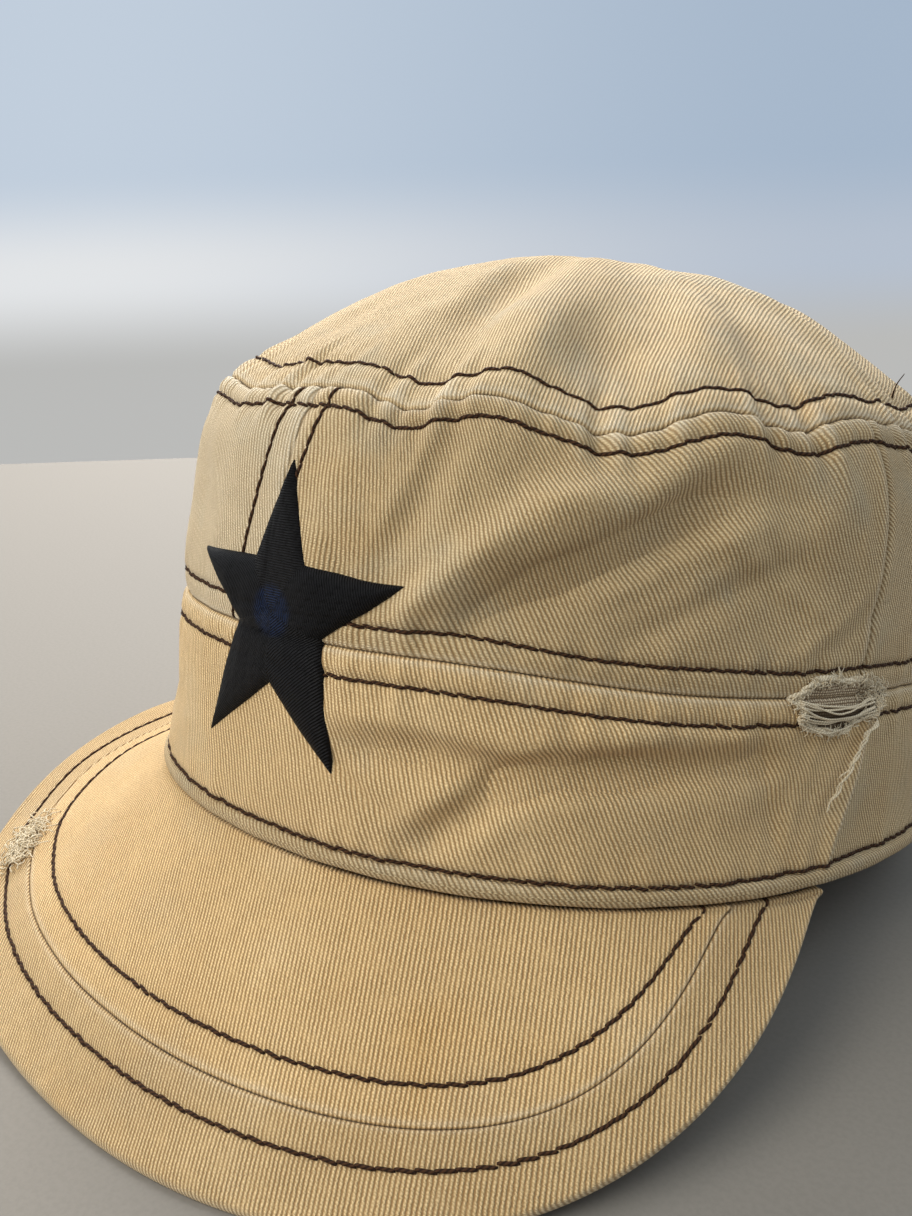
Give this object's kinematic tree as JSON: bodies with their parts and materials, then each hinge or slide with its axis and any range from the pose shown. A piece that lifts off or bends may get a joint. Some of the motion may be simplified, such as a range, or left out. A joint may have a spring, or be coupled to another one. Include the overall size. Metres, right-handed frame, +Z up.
{
  "type": "cadet cap",
  "caption": "Washed cotton cadet cap with a banded flat-sided crown, a domed puckered top and a short arched peak, lying at rest.",
  "frame": {"origin": "centre of the bounding box in plan, on the surface that the cap rests on", "axes": "+Z up, -Y to the front of the cap, where the peak is, and +X to the wearer's left"},
  "size_m": [0.1894, 0.245, 0.1399],
  "materials": {
    "crown_top_cloth": "khaki cotton twill, puckered towards the seam",
    "upper_side_left_cloth": "khaki cotton twill, creased",
    "upper_side_right_cloth": "khaki cotton twill, creased",
    "upper_side_back_cloth": "khaki cotton twill, creased",
    "lower_band_front_cloth": "khaki cotton twill, creased",
    "lower_band_back_cloth": "khaki cotton twill, creased",
    "hem_band_cloth": "rolled hem of khaki cotton twill",
    "peak_panel_cloth": "ribbed khaki cotton twill, pressed smooth",
    "peak_border_cloth": "ribbed khaki cotton twill, worn at the edge"
  },
  "bodies": {
    "root": {"crown_top": "crown_top_cloth", "upper_side_left": "upper_side_left_cloth", "upper_side_right": "upper_side_right_cloth", "upper_side_back": "upper_side_back_cloth", "lower_band_front": "lower_band_front_cloth", "lower_band_back": "lower_band_back_cloth", "hem_band": "hem_band_cloth", "peak_panel": "peak_panel_cloth", "peak_border": "peak_border_cloth"}
  },
  "joints": []
}
